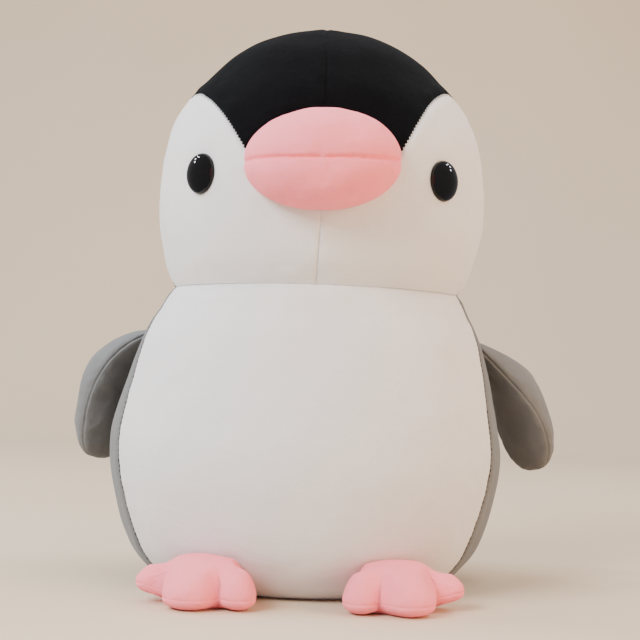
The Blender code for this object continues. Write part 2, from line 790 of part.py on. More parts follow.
def build_foot(side, sign):
    """One foot: upper cover, sole and filling, sewn on along its rear edge."""
    turn = math.radians(FOOT_TOE_OUT)
    forward = Vector((sign * math.sin(turn), -math.cos(turn), 0.0))
    aside = Vector((sign * math.cos(turn), math.sin(turn), 0.0))
    root = Vector((sign * FOOT_X, FOOT_Y, FOOT_SEAM_Z))
    place = Matrix.Translation(root) @ Matrix(
        ((forward.x, aside.x, 0.0), (forward.y, aside.y, 0.0), (0.0, 0.0, 1.0))
    ).to_4x4()
    axis = add_axis("foot_axis_" + side, root)
    outline, centre = foot_outline()
    half = SEAM_GAP / 2

    swell = ((1.0, 0.0), (0.95, 0.42), (0.80, 0.80), (0.50, 1.0))
    scales = [s for s, _ in swell]

    def top(share, less):
        return lambda p: half + max(foot_rise(p) - less, 0.0) * share

    def flat(level):
        return lambda p: level

    outer = [top(share, 0.0) for _, share in swell]
    inner = [top(share, CLOTH) for _, share in swell]
    padded_cover("foot_%s_upper" % side, outline, centre, scales, outer, inner,
                 place, "pink_cloth", axis)
    drop = FOOT_SEAM_Z
    sole_scales = (1.0, 0.97, 0.86, 0.4)
    outer = [flat(-half), flat(-drop * 0.6), flat(-drop), flat(-drop)]
    inner = [flat(-half), flat(-drop * 0.6 + CLOTH * 0.7), flat(-drop + CLOTH), flat(-drop + CLOTH)]
    padded_cover("foot_%s_sole" % side, outline, centre, sole_scales, outer, inner,
                 place, "pink_cloth", axis)
    slack = CLOTH + FILL_GAP
    upper = [top(share, slack) for _, share in swell]
    under = (0.0, 0.55, 0.92, 0.98)
    lower = [flat(-half - (drop - slack - half) * share) for share in under]
    padded_filling("foot_%s_filling" % side, outline, centre, scales, upper, lower,
                   place, axis)


def main():
    """Clear the scene and build every piece of the penguin."""
    for item in list(bpy.data.objects):
        bpy.data.objects.remove(item, do_unlink=True)
    body = Lobe(BODY_PROFILE, BODY_DEPTH)
    head = Lobe(HEAD_PROFILE, HEAD_DEPTH)
    build_body(body)
    build_head(head)
    build_beak(head)
    build_eyes(head)
    build_wing(body, "left", 1.0, WING_HANG_LEFT)
    build_wing(body, "right", -1.0, WING_HANG_RIGHT)
    build_foot("left", 1.0)
    build_foot("right", -1.0)


main()
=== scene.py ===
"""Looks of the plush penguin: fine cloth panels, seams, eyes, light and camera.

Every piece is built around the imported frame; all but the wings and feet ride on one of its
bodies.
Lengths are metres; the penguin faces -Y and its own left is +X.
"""

import json
import math

import bpy
import numpy as np
from mathutils import Matrix, Vector, kdtree, noise


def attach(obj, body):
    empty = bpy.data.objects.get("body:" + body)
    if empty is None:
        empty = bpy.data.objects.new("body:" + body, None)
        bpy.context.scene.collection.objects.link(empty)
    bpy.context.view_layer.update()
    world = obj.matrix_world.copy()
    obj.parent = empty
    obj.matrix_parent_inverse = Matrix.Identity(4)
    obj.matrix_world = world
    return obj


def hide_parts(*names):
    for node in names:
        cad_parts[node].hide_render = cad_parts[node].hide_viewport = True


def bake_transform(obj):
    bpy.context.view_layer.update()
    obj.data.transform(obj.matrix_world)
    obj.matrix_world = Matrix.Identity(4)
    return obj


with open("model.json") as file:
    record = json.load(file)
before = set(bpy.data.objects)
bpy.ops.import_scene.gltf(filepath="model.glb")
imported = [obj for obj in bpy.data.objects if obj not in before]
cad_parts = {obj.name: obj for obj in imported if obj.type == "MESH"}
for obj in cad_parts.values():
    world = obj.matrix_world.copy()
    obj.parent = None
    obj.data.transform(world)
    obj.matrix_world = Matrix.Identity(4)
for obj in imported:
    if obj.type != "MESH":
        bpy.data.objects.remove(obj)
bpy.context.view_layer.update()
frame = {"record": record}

# The penguin's own sides: name, sign of X.
SIDES = (("left", 1.0), ("right", -1.0))

# ------------------------------------------------------------------ head and body
HEAD_DEPTH = 0.90         # depth of the head over its width
BODY_DEPTH = 0.87         # depth of the body over its width
# Profiles of the two lobes: half width, height.
BODY_PROFILE = (
    (0.1000, 0.0000), (0.1130, 0.0035), (0.1260, 0.0120), (0.1415, 0.0320),
    (0.1535, 0.0680), (0.1585, 0.1060), (0.1515, 0.1470), (0.1365, 0.1960),
    (0.1240, 0.2200), (0.1155, 0.2350),
)
HEAD_PROFILE = (
    (0.1155, 0.2350), (0.1240, 0.2550), (0.1305, 0.2830), (0.1320, 0.3100),
    (0.1295, 0.3390), (0.1230, 0.3630), (0.1120, 0.3840), (0.0960, 0.4035),
    (0.0740, 0.4245), (0.0420, 0.4410), (0.0000, 0.4500),
)
NECK_HEIGHT = BODY_PROFILE[-1][1]
NECK_BLEND = 0.014        # height over which the head takes the body's depth
# Seams down the sides: height, degrees round from the front.
SIDE_SEAM = ((0.000, 60.0), (0.035, 63.0), (0.106, 66.0), (0.150, 70.0), (0.235, 80.0))
CHEEK_SEAM = ((0.235, 84.0), (0.280, 97.0), (0.340, 94.0), (0.394, 76.0))
PEAK_HEIGHT = 0.394       # top of the white cheek
PEAK_SHIFT = {"left": 0.0012, "right": -0.0048}
BROW_HEIGHT = 0.334       # hood edge where it runs behind the beak
BEAK_CORNER = 0.27        # share of the cheek's width where that edge is level

LEAN = 0.007              # sideways lean of the head over the body
LEAN_FROM = 0.11
LEAN_TO = 0.31
NECK_LIFT = 0.0030        # rise of the neck seam at the front
NECK_LIFT_REACH = 0.024

# Seams: how deep each pulls the cloth in, and how wide.
CHEEK_PULL = (0.0015, 0.0018)
CHIN_PULL = (0.00035, 0.0014)
CREST_PULL = (0.0010, 0.0018)
SIDE_PULL = (0.0016, 0.0018)
SPINE_PULL = (0.0012, 0.0018)
NECK_PULL = (0.0008, 0.0034)
EYE_PULL = (0.0026, 0.0180)
# Stitches: spacing, length, radius, slant in degrees, lift off the cloth.
CHEEK_STITCH = (0.0034, 0.0026, 0.00046, 58.0, 0.0005)
CHIN_STITCH = (0.0030, 0.0018, 0.00022, 10.0, 0.0001)
SIDE_STITCH = (0.0042, 0.0029, 0.00060, 26.0, 0.0007)
# Unevenness of the filled cloth: height, size of one lump.
BROAD_LUMPS = (0.0011, 0.062)
FINE_LUMPS = (0.0005, 0.021)
NECK_GATHERS = (0.0008, 0.013)
RELIEF_SEED = 11.0

CLOTH = 0.0014            # thickness of the cloth
BASE_REST = 0.0002        # clearance of the base over the floor
# Grids of the panels: columns and rows of cells.
FACE_CELLS, HOOD_CELLS = 64, 60
FACE_ROWS, BROW_ROWS, CROWN_ROWS = 60, 24, 46
BELLY_CELLS, BACK_CELLS, BODY_ROWS = 120, 72, 116
BASE_RINGS = (1.0, 0.985, 0.9, 0.7, 0.4, 0.15)

# ------------------------------------------------------------------ eyes and beak
EYE_AZIMUTH = 44.9
EYE_HEIGHT = 0.320
EYE_HALF_WIDTH = 0.0134
EYE_HALF_HEIGHT = 0.0158
EYE_BULGE = 0.0090
EYE_SINK = 0.0010         # depth of the eye's rim in the cloth
# Rim, back and post of an eye: share of its radius, height.
EYE_BACK = (
    (1.000, -0.0006), (0.985, -0.0012), (0.93, -0.0015), (0.23, -0.0015),
    (0.20, -0.0020), (0.20, -0.0140), (0.0, -0.0140),
)

BEAK_HALF_WIDTH = 0.0592
BEAK_UPPER = 0.0400
BEAK_LOWER = 0.0372
BEAK_TILT = 1.8
BEAK_HEIGHT = 0.3283      # height of the beak's seam
BEAK_TIP_Y = -0.1600
BEAK_CENTRE_Y = -0.112
BEAK_DROOP = 0.0016
BEAK_AROUND, BEAK_CLIMB = 240, 72
BEAK_SEWN_RINGS = 9       # rings nearest the face that stay put
BEAK_SEED = 30.0

# ------------------------------------------------------------------ wings and feet
WING_YAW = 20.0           # turn of the root's front edge outward
WING_HALF_CHORD = 0.0295
WING_OUTER = 0.0250       # bulge of the outer side
WING_INNER = 0.0080       # bulge of the inner side
WING_EDGE = 0.0265        # distance in from the seam over which a wing swells
WING_GROOVE = 0.0013
WING_SEED = 41.0
# Middle line of each wing from its root: distance outward, drop.
WING_SPINE = {
    "left": ((0.0, 0.0), (0.012, 0.009), (0.0245, 0.026), (0.0374, 0.046),
             (0.0530, 0.078), (0.0640, 0.107)),
    "right": ((0.0, 0.0), (0.0165, 0.008), (0.0295, 0.028), (0.0396, 0.059),
              (0.0460, 0.090), (0.0490, 0.108)),
}
# Turn of the chord along the wing: share of the length, degrees.
WING_TURN = {
    "left": ((0.0, -12.0), (0.42, 0.0), (0.78, 20.0), (1.0, 25.0)),
    "right": ((0.0, -5.0), (0.50, 7.0), (0.85, 18.0), (1.0, 22.0)),
}
WING_HANG = (0.55, -0.83)       # way the root leaves the body: outward, up
WING_BLEND = (-0.001, 0.011)    # distances that way to two points that are worked out but not used

FOOT_TOE_OUT = 20.0
PALM_BACK = 0.0240
PALM_FRONT = 0.0320
PALM_SIDE = 0.0310
FOOT_SEAM = 0.0085              # height of the seam over the floor
FOOT_TOE_HEIGHT = 0.0120        # height of the toes over the seam
FOOT_CROWN_HEIGHT = 0.0160      # further height of the crown
FOOT_CROWN = (0.022, -0.001)
FOOT_CROWN_SPREAD = (0.031, 0.050)
FOOT_OUTER_LIFT = 0.0056        # rise of the outer toe off the floor
FOOT_EDGE = 0.0145
FOOT_SOLE_EDGE = 0.0135
FOOT_GROOVE = 0.0004
FOOT_SEED = 51.0
# Toe circles: forward of the rear edge, outward, radius.
TOES = (
    (0.0345, 0.0385, 0.0115), (0.0505, 0.0045, 0.0150),
    (0.0505, -0.0035, 0.0145), (0.0375, -0.0325, 0.0133),
)
TOE_JOIN = 12                   # sharpness of the notches between toes

# Rings of a pad in from its seam, as degrees of a quarter circle.
RING_TURNS = (0.0, 0.8, 1.6, 2.5, 3.6, 5.0, 6.8, 9.2, 12.4, 16.0, 20.0, 24.5, 29.5,
              35.0, 41.0, 47.5, 54.0, 61.0, 68.0, 75.0, 82.0, 90.0)
PAD_SIZE = 0.030                # half width that the ring spacing is meant for

# ------------------------------------------------------------------ settling
SETTLE_FRAMES = 20
SETTLE_PRESSURE = 4.0
SETTLE_DIP = 0.0002             # the most that settling presses the cloth in
SETTLE_EVEN = 0.90              # share of the mean swelling taken off again
# Size of a settled skin's cells, and the most that its points move.
TORSO_SETTLE = (0.0060, 0.0024)
BEAK_SETTLE = (0.0035, 0.0008)
PAD_SETTLE = (0.0035, 0.0016)

# ------------------------------------------------------------------ stage
CAMERA_DISTANCE = 1.2
CAMERA_HEIGHT = 0.200
CAMERA_X = 0.0086
CAMERA_PITCH = 0.585
CAMERA_ROLL = -1.8
CAMERA_LENS = 82.6

SWEEP_REACH = 5.0               # the floor towards the camera, and its back wall
SWEEP_HALF_WIDTH = 6.0
SWEEP_BEND_Y = 1.3              # where the floor starts to curve up
SWEEP_BEND_RADIUS = 1.0
SKY_COLOUR = (0.94, 0.95, 1.0, 1.0)
SKY_STRENGTH = 0.52
# Large soft lamps: name, place, aim, size, power, colour.
LAMPS = (
    ("key", (-1.5, -1.5, 1.6), (0.0, 0.0, 0.22), (1.4, 1.0), 104.0, (0.96, 0.98, 1.0)),
    ("fill", (1.7, -1.0, 0.8), (0.0, 0.0, 0.20), (1.2, 1.2), 48.0, (1.0, 0.62, 0.32)),
    ("top", (-0.1, 0.5, 2.0), (0.0, 0.0, 0.25), (1.2, 1.2), 17.0, (1.0, 0.97, 0.92)),
)
# Small ceiling lamps that glint in the eyes.
SPOTS = (
    (-1.50, 0.54, 1.57), (-1.78, 0.22, 1.45), (-1.20, 0.75, 1.80), (-1.32, 0.20, 1.98),
    (1.50, 0.54, 1.57), (1.78, 0.18, 1.42), (1.22, 0.70, 1.82), (1.30, 0.30, 2.02),
)
SPOT_SIZE = 0.15
SPOT_POWER = {"left": 6.0, "right": 9.0}
SPOT_COLOUR = (0.9, 0.94, 1.0)


# ------------------------------------------------------------------ small tools
def ease(count, pull=0.55):
    """Shares from 0 to 1 that crowd towards both ends."""
    share = np.linspace(0.0, 1.0, count + 1)
    return share - pull * np.sin(2 * np.pi * share) / (2 * np.pi)


def table_curve(table, degree):
    """A polynomial through a short table of (place, amount) rows."""
    heights, amounts = np.array(table).T
    return np.poly1d(np.polyfit(heights, amounts, degree))


def lumps(points, size, seed, stretch=(1.0, 1.0, 1.0)):
    """Smooth seeded noise, about -1 to 1, at each point."""
    shift = Vector((seed * 7.31, seed * 3.17, seed * 5.73))
    scale = np.array(stretch) / size
    return np.array([noise.noise(Vector(p * scale) + shift) for p in points])


def tree_of(points):
    """Search tree over points."""
    tree = kdtree.KDTree(len(points))
    for k, p in enumerate(points):
        tree.insert(Vector(p), k)
    tree.balance()
    return tree


def nearest(points, curve):
    """Distance from each point to a curve given as close points."""
    tree = tree_of(curve)
    return np.array([tree.find(Vector(p))[2] for p in points])


def travelled(line):
    """Distance along a line of points, at each point."""
    steps = np.linalg.norm(np.diff(line, axis=0), axis=1)
    return np.concatenate([[0.0], np.cumsum(steps)])


def picked(rows, travel, at):
    """Rows of three values at given distances along their line."""
    return np.stack([np.interp(at, travel, rows[:, k]) for k in range(3)], axis=1)


def densify(curve, gap=0.0012):
    """The same curve with a point about every gap."""
    travel = travelled(curve)
    count = max(int(travel[-1] / gap), 2)
    return picked(curve, travel, np.linspace(0.0, travel[-1], count))


def smooth_step(value):
    """0 below 0, 1 above 1, and a smooth rise between."""
    share = np.clip(value, 0.0, 1.0)
    return share * share * (3.0 - 2.0 * share)


def lean(points):
    """Shear the head sideways over the body and lift the front of the neck."""
    moved = points.copy()
    moved[:, 0] += LEAN * smooth_step((points[:, 2] - LEAN_FROM) / (LEAN_TO - LEAN_FROM))
    front = np.clip(-points[:, 1] / (np.hypot(points[:, 0], points[:, 1]) + 1e-6), 0.0, 1.0)
    near = np.exp(-((points[:, 2] - NECK_HEIGHT) / NECK_LIFT_REACH) ** 2)
    moved[:, 2] += NECK_LIFT * near * front ** 2
    return moved


def settle(points, faces, sewn, limits):
    """Let filling press a closed cloth skin out between its sewn lines.

    limits holds the cell size of a coarse copy of the skin and the most that its
    points may move. Returns those points and how far each one moved.
    """
    cell, cap = limits
    mesh = bpy.data.meshes.new("skin")
    mesh.from_pydata([tuple(p) for p in points], [], [tuple(f) for f in faces])
    skin = bpy.data.objects.new("skin", mesh)
    bpy.context.collection.objects.link(skin)
    grid = skin.modifiers.new("grid", "REMESH")
    grid.mode = "VOXEL"
    grid.voxel_size = cell
    graph = bpy.context.evaluated_depsgraph_get()
    coarse = bpy.data.meshes.new_from_object(skin.evaluated_get(graph))
    skin.modifiers.clear()
    skin.data = coarse
    rest = np.array([v.co for v in coarse.vertices])
    out = np.array([v.normal for v in coarse.vertices])
    gap = nearest(rest, sewn)
    group = skin.vertex_groups.new(name="sewn")
    group.add([int(k) for k in np.flatnonzero(gap < cell * 0.8)], 1.0, "REPLACE")
    press = skin.modifiers.new("press", "CLOTH")
    rules = press.settings
    rules.quality = 5
    rules.mass = 0.15
    rules.tension_stiffness = 14.0
    rules.compression_stiffness = 10.0
    rules.shear_stiffness = 4.0
    rules.bending_stiffness = 0.25
    rules.use_pressure = True
    rules.uniform_pressure_force = SETTLE_PRESSURE
    rules.shrink_min = -0.05
    rules.vertex_group_mass = "sewn"
    rules.effector_weights.gravity = 0.0
    press.collision_settings.use_collision = False
    press.point_cache.frame_start = 1
    press.point_cache.frame_end = SETTLE_FRAMES
    for step in range(1, SETTLE_FRAMES + 1):
        bpy.context.scene.frame_set(step)
    graph = bpy.context.evaluated_depsgraph_get()
    pressed = bpy.data.meshes.new_from_object(skin.evaluated_get(graph))
    shift = np.array([v.co for v in pressed.vertices]) - rest
    bpy.context.scene.frame_set(1)
    edges = np.array([e.vertices[:] for e in coarse.edges])
    bpy.data.objects.remove(skin)
    for spare in (mesh, coarse, pressed):
        bpy.data.meshes.remove(spare)
    count = np.bincount(edges.ravel(), minlength=len(rest))[:, None] + 1.0
    total = shift.copy()
    np.add.at(total, edges[:, 0], shift[edges[:, 1]])
    np.add.at(total, edges[:, 1], shift[edges[:, 0]])
    shift = total / count
    swell_out = (shift * out).sum(axis=1)
    even = SETTLE_EVEN * swell_out[gap > 4.0 * cell].mean() * smooth_step(gap / (4.0 * cell))
    wanted = np.maximum(swell_out - even, -SETTLE_DIP)
    shift += out * (wanted - swell_out)[:, None]
    size = np.linalg.norm(shift, axis=1)[:, None] + 1e-9
    return rest, shift * (cap * np.tanh(size / cap) / size)


def carried(points, skin):
    """Movement of fine points that lie on a settled coarse skin."""
    if skin is None:
        return np.zeros_like(points)
    rest, shift = skin
    tree = tree_of(rest)
    moved = np.zeros_like(points)
    for k, p in enumerate(points):
        found = tree.find_n(Vector(p), 6)
        near = np.array([1.0 / (row[2] + 0.001) ** 2 for row in found])
        moved[k] = (shift[[row[1] for row in found]] * near[:, None]).sum(axis=0) / near.sum()
    return moved


def add_mesh(name, points, faces, material, body, smooth=True):
    """Make a mesh object that rides on a body."""
    mesh = bpy.data.meshes.new(name)
    mesh.from_pydata([tuple(p) for p in points], [], [tuple(f) for f in faces])
    mesh.validate()
    mesh.materials.append(material)
    mesh.polygons.foreach_set("use_smooth", [smooth] * len(mesh.polygons))
    item = bpy.data.objects.new(name, mesh)
    bpy.context.collection.objects.link(item)
    if body:
        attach(item, body)
    return item


def compact(points, faces):
    """Merge points that coincide, and drop unused points and emptied faces."""
    keys = np.round(points * 1e6).astype(np.int64)
    _, first, order = np.unique(keys, axis=0, return_index=True, return_inverse=True)
    order = order.reshape(-1)
    used = {}
    kept = []
    clean = []
    for face in faces:
        ring = []
        for k in face:
            m = int(order[k])
            if m not in used:
                used[m] = len(kept)
                kept.append(points[first[m]])
            if used[m] not in ring:
                ring.append(used[m])
        if len(ring) > 2:
            clean.append(ring)
    return np.array(kept), clean


def grid_faces(rows, columns, choose=None):
    """Quads of a grid of rows x columns points, left to right and bottom to top."""
    faces = []
    for i in range(rows - 1):
        for j in range(columns - 1):
            if choose is None or choose(i, j):
                a = i * columns + j
                faces.append((a, a + 1, a + 1 + columns, a + columns))
    return faces


def tube_faces(count, rings, start=0):
    """Quads over closed rings of count points each."""
    faces = []
    for i in range(rings - 1):
        for j in range(count):
            k = (j + 1) % count
            a, b = start + i * count, start + (i + 1) * count
            faces.append((a + j, a + k, b + k, b + j))
    return faces


def fan_faces(count, first, tip):
    """Triangles between a ring, whose points start at first, and a tip."""
    return [(first + j, first + (j + 1) % count, tip) for j in range(count)]


def flipped(faces):
    """The same faces turned inside out."""
    return [tuple(reversed(face)) for face in faces]


def mirrored(points):
    """The points on the other side of the middle plane."""
    return points * np.array([-1.0, 1.0, 1.0])


def thicken(item):
    """Give an open cloth panel its thickness on the inside."""
    change = item.modifiers.new("cloth", "SOLIDIFY")
    change.thickness = CLOTH
    change.offset = -1.0
    change.use_even_offset = False


def stitches(name, line, out, kind, sign, material):
    """A row of short thread stitches lying along a seam, slanted to one side."""
    spacing, length, radius, slant, lift = kind
    travel = travelled(line)
    at = np.arange(spacing, travel[-1] - spacing, spacing)
    spots = picked(line, travel, at)
    ahead = picked(line, travel, at + 0.001)
    ways = picked(out, travel, at)
    points = []
    faces = []
    for spot, next_spot, way in zip(spots, ahead, ways):
        up = Vector(way).normalized()
        turn = Matrix.Rotation(math.radians(slant * sign), 3, up)
        run = turn @ (Vector(next_spot) - Vector(spot)).normalized()
        across = up.cross(run).normalized()
        start = len(points)
        for along, thick in ((-0.5, 0.35), (-0.32, 1.0), (0.32, 1.0), (0.5, 0.35)):
            dip = -radius * 1.4 if thick < 1.0 else 0.0
            middle = Vector(spot) + up * (lift + dip) + run * (along * length)
            for k in range(6):
                angle = math.pi * k / 3
                side = across * math.cos(angle) + up * math.sin(angle)
                points.append(middle + side * radius * thick)
        for ring in range(3):
            for k in range(6):
                m = (k + 1) % 6
                a, b = start + ring * 6, start + ring * 6 + 6
                faces.append((a + k, a + m, b + m, b + k))
        faces.append(tuple(start + k for k in reversed(range(6))))
        faces.append(tuple(start + 18 + k for k in range(6)))
    return add_mesh(name, points, faces, material, "torso")


# ------------------------------------------------------------------ materials
class Paint:
    """A Principled material being put together from procedural noise."""

    def __init__(self, name, **settings):
        self.made = bpy.data.materials.new(name)
        self.made.use_nodes = True
        self.nodes = self.made.node_tree.nodes
        self.link = self.made.node_tree.links.new
        self.shader = self.nodes["Principled BSDF"]
        self.place = self.nodes.new("ShaderNodeTexCoord").outputs["Object"]
        for words, value in settings.items():
            self.shader.inputs[words.replace("_", " ")].default_value = value

    def node(self, kind, **values):
        """A node of that kind, with values for its sockets."""
        made = self.nodes.new("ShaderNode" + kind)
        for words, value in values.items():
            made.inputs[words.replace("_", " ")].default_value = value
        return made

    def noise(self, **values):
        """Strength of a noise that stays put on the object."""
        made = self.node("TexNoise", **values)
        self.link(self.place, made.inputs["Vector"])
        return made.outputs["Fac"]

    def ranged(self, source, low, high, start=0.0, end=1.0):
        """The source's range from start to end, stretched to low to high."""
        made = self.node("MapRange", From_Min=start, From_Max=end, To_Min=low, To_Max=high)
        self.link(source, made.inputs["Value"])
        return made.outputs["Result"]

    def product(self, one, other):
        """One value times another."""
        made = self.node("Math")
        made.operation = "MULTIPLY"
        self.link(one, made.inputs[0])
        self.link(other, made.inputs[1])
        return made.outputs[0]

    def bump(self, height, strength, distance, below=None):
        """Bump of a height, on top of another bump."""
        made = self.node("Bump", Strength=strength, Distance=distance)
        self.link(height, made.inputs["Height"])
        if below:
            self.link(below, made.inputs["Normal"])
        return made.outputs["Normal"]

    def feed(self, source, socket):
        """Drive one of the material's own inputs."""
        self.link(source, self.shader.inputs[socket])


def fabric(name, colour, sheen, nap=0.30, blotch=0.05, tint=(1.0, 1.0, 1.0), shine=0.22):
    """Short-pile plush: brushed nap, faint blotches, soft sheen and fine bump."""
    paint = Paint(name, Sheen_Weight=sheen, Sheen_Roughness=0.45, Sheen_Tint=(*tint, 1.0),
                  Specular_IOR_Level=shine)
    pile = paint.noise(Scale=1500.0, Detail=3.0, Roughness=0.6)
    brushed = paint.noise(Scale=160.0, Detail=4.0, Roughness=0.7)
    cloud = paint.noise(Scale=26.0, Detail=3.0, Roughness=0.6)
    shade = paint.ranged(cloud, 1.0 - blotch, 1.0 + blotch * 0.6, 0.3, 0.7)
    grain = paint.ranged(pile, 1.0 - nap * 0.42, 1.0 + nap * 0.12, 0.25, 0.75)
    brush = paint.ranged(brushed, 1.0 - blotch * 0.7, 1.0 + blotch * 0.4, 0.3, 0.7)
    tone = paint.node("VectorMath")
    tone.operation = "SCALE"
    tone.inputs[0].default_value = colour
    paint.link(paint.product(paint.product(shade, grain), brush), tone.inputs["Scale"])
    paint.feed(tone.outputs[0], "Base Color")
    paint.feed(paint.ranged(brushed, 0.82, 1.0), "Roughness")
    fine = paint.bump(pile, 0.55, 0.0005)
    paint.feed(paint.bump(brushed, 0.30, 0.0016, fine), "Normal")
    return paint.made


def eye_plastic(name):
    """Polished black acrylic with a clear coat and the faintest dust."""
    paint = Paint(name, Base_Color=(0.0035, 0.0032, 0.0034, 1.0), Specular_IOR_Level=0.20,
                  Coat_Weight=0.20, Coat_Roughness=0.015, IOR=1.45)
    dust = paint.noise(Scale=380.0, Detail=5.0)
    paint.feed(paint.ranged(dust, 0.03, 0.11), "Roughness")
    return paint.made


def floor_paint(name):
    """Pale matte tabletop with a very slight mottling."""
    paint = Paint(name, Roughness=0.6)
    mix = paint.nodes.new("ShaderNodeMix")
    mix.data_type = "RGBA"
    mix.inputs["A"].default_value = (0.61, 0.49, 0.355, 1.0)
    mix.inputs["B"].default_value = (0.65, 0.53, 0.39, 1.0)
    paint.link(paint.noise(Scale=3.0), mix.inputs["Factor"])
    paint.feed(mix.outputs["Result"], "Base Color")
    return paint.made


WHITE = fabric("plush_white", (0.70, 0.692, 0.700), 0.17, nap=0.14, blotch=0.020)
BLACK = fabric("plush_black", (0.0025, 0.0026, 0.0031), 0.016, nap=0.50, blotch=0.18,
               tint=(0.75, 0.80, 0.88), shine=0.11)
GREY = fabric("plush_grey", (0.160, 0.164, 0.168), 0.16, nap=0.30, blotch=0.06)
PINK = fabric("plush_pink", (1.0, 0.250, 0.305), 0.16, nap=0.10, blotch=0.024,
              tint=(1.0, 0.58, 0.62))
THREAD_WHITE = fabric("thread_white", (0.68, 0.675, 0.67), 0.10, nap=0.20, blotch=0.03)
# Side seam thread, much darker than the grey cloth: partly the thread's own colour, partly
# painted shade of the seam's groove.
THREAD_WITH_PAINTED_SHADE = fabric("thread_with_painted_shade", (0.030, 0.031, 0.033), 0.10, nap=0.30, blotch=0.05)
EYE = eye_plastic("eye_acrylic")


# ------------------------------------------------------------------ torso surface
class Lobe:
    """A smooth profile swept round an elliptical section."""

    def __init__(self, profile, depth, neck_depth, steps=24):
        self.depth = depth
        self.neck_depth = neck_depth
        ends = np.array((profile[0], *profile, profile[-1]))
        share = np.linspace(0.0, 1.0, steps, endpoint=False)[:, None]
        parts = []
        for k in range(1, len(ends) - 2):
            a, b, c, d = ends[k - 1], ends[k], ends[k + 1], ends[k + 2]
            parts.append(0.5 * (2 * b + (c - a) * share
                                + (2 * a - 5 * b + 4 * c - d) * share ** 2
                                + (3 * b - a - 3 * c + d) * share ** 3))
        curve = np.vstack(parts + [ends[-1:]])
        travel = travelled(curve)
        self.share = travel / travel[-1]
        self.radius = curve[:, 0]
        self.height = curve[:, 1]
        self.slope_r = np.gradient(curve[:, 0], travel)
        self.slope_z = np.gradient(curve[:, 1], travel)

    def points(self, v, degrees):
        """Surface points and outward normals, as flat arrays of rows."""
        v = np.clip(np.asarray(v, float), 0.0, 1.0).ravel()
        turn = np.radians(np.asarray(degrees, float)).ravel()
        r = np.interp(v, self.share, self.radius)
        z = np.interp(v, self.share, self.height)
        dr = np.interp(v, self.share, self.slope_r)
        dz = np.interp(v, self.share, self.slope_z)
        near = np.exp(-((z - NECK_HEIGHT) / NECK_BLEND) ** 2)
        depth = self.depth + (self.neck_depth - self.depth) * near
        spot = np.stack([r * np.sin(turn), -depth * r * np.cos(turn), z], axis=1)
        normal = np.stack([self.depth * dz * np.sin(turn), -dz * np.cos(turn),
                           -self.depth * dr], axis=1)
        normal /= np.linalg.norm(normal, axis=1)[:, None] + 1e-12
        return spot, normal

    def share_at(self, height):
        """Share of the profile at a height."""
        return float(np.interp(height, self.height, self.share))

    def front_y(self, x, height):
        """Y of the front of the surface behind a point seen from the front."""
        r = np.interp(np.interp(height, self.height, self.share), self.share, self.radius)
        return -self.depth * np.sqrt(np.maximum(r * r - x * x, 0.0))


BODY = Lobe(BODY_PROFILE, BODY_DEPTH, BODY_DEPTH)
HEAD = Lobe(HEAD_PROFILE, HEAD_DEPTH, BODY_DEPTH)
side_turn = table_curve(SIDE_SEAM, 3)
cheek_turn = table_curve(CHEEK_SEAM, 3)

# The settled torso, and its seams as (search tree, depth, width).
# Both are worked out further down, before any cover is made.
TORSO_SKIN = None
SEAMS = []


def eye_place(sign):
    """Matrix that stands on the face where an eye goes, its Z pointing out."""
    v = HEAD.share_at(EYE_HEIGHT)
    spot, normal = HEAD.points([v], [sign * EYE_AZIMUTH])
    spot = lean(spot)[0]
    turn = Vector(normal[0]).to_track_quat("Z", "Y").to_matrix().to_4x4()
    return Matrix.Translation(Vector(spot)) @ turn


def cloth_relief(points, normals):
    """Push a smooth surface in at its seams and out between them, as filled cloth."""
    rise = points[:, 2] - NECK_HEIGHT
    level = np.exp(-(rise / 0.005) ** 2)[:, None]
    radial = normals * np.array([1.0, 1.0, 0.0])
    radial /= np.linalg.norm(radial, axis=1)[:, None] + 1e-9
    normals = normals * (1.0 - level) + radial * level
    offset = BROAD_LUMPS[0] * lumps(points, BROAD_LUMPS[1], RELIEF_SEED)
    offset += FINE_LUMPS[0] * lumps(points, FINE_LUMPS[1], RELIEF_SEED + 1)
    pucker = 1.0 + 0.45 * lumps(points, 0.0055, RELIEF_SEED + 2)
    for tree, depth, width in SEAMS:
        gap = np.array([tree.find(Vector(p))[2] for p in points])
        offset -= depth * pucker * np.exp(-(gap / width) ** 2)
        offset += 0.30 * depth * np.exp(-((gap - 4.0 * width) / (2.4 * width)) ** 2)
    near_neck = np.exp(-((np.abs(rise) - 0.010) / 0.012) ** 2)
    gathers = lumps(points, NECK_GATHERS[1], RELIEF_SEED + 3, (1.0, 1.0, 0.30))
    offset += NECK_GATHERS[0] * near_neck * gathers
    for sign in (1.0, -1.0):
        spot = HEAD.points([HEAD.share_at(EYE_HEIGHT)], [sign * EYE_AZIMUTH])[0][0]
        gap = np.linalg.norm(points - spot, axis=1)
        offset -= EYE_PULL[0] * np.exp(-(gap / EYE_PULL[1]) ** 2)
    return lean(points + normals * offset[:, None] + carried(points, TORSO_SKIN))


def brow_share(across, peak):
    """Profile share of the hood's front edge across a cheek."""
    low = HEAD.share_at(BROW_HEIGHT)
    rise = np.maximum(across - BEAK_CORNER, 0.0) / (1.0 - BEAK_CORNER)
    return low + (peak - low) * (1.0 - (1.0 - rise) ** (3.05 - 1.2 * rise))


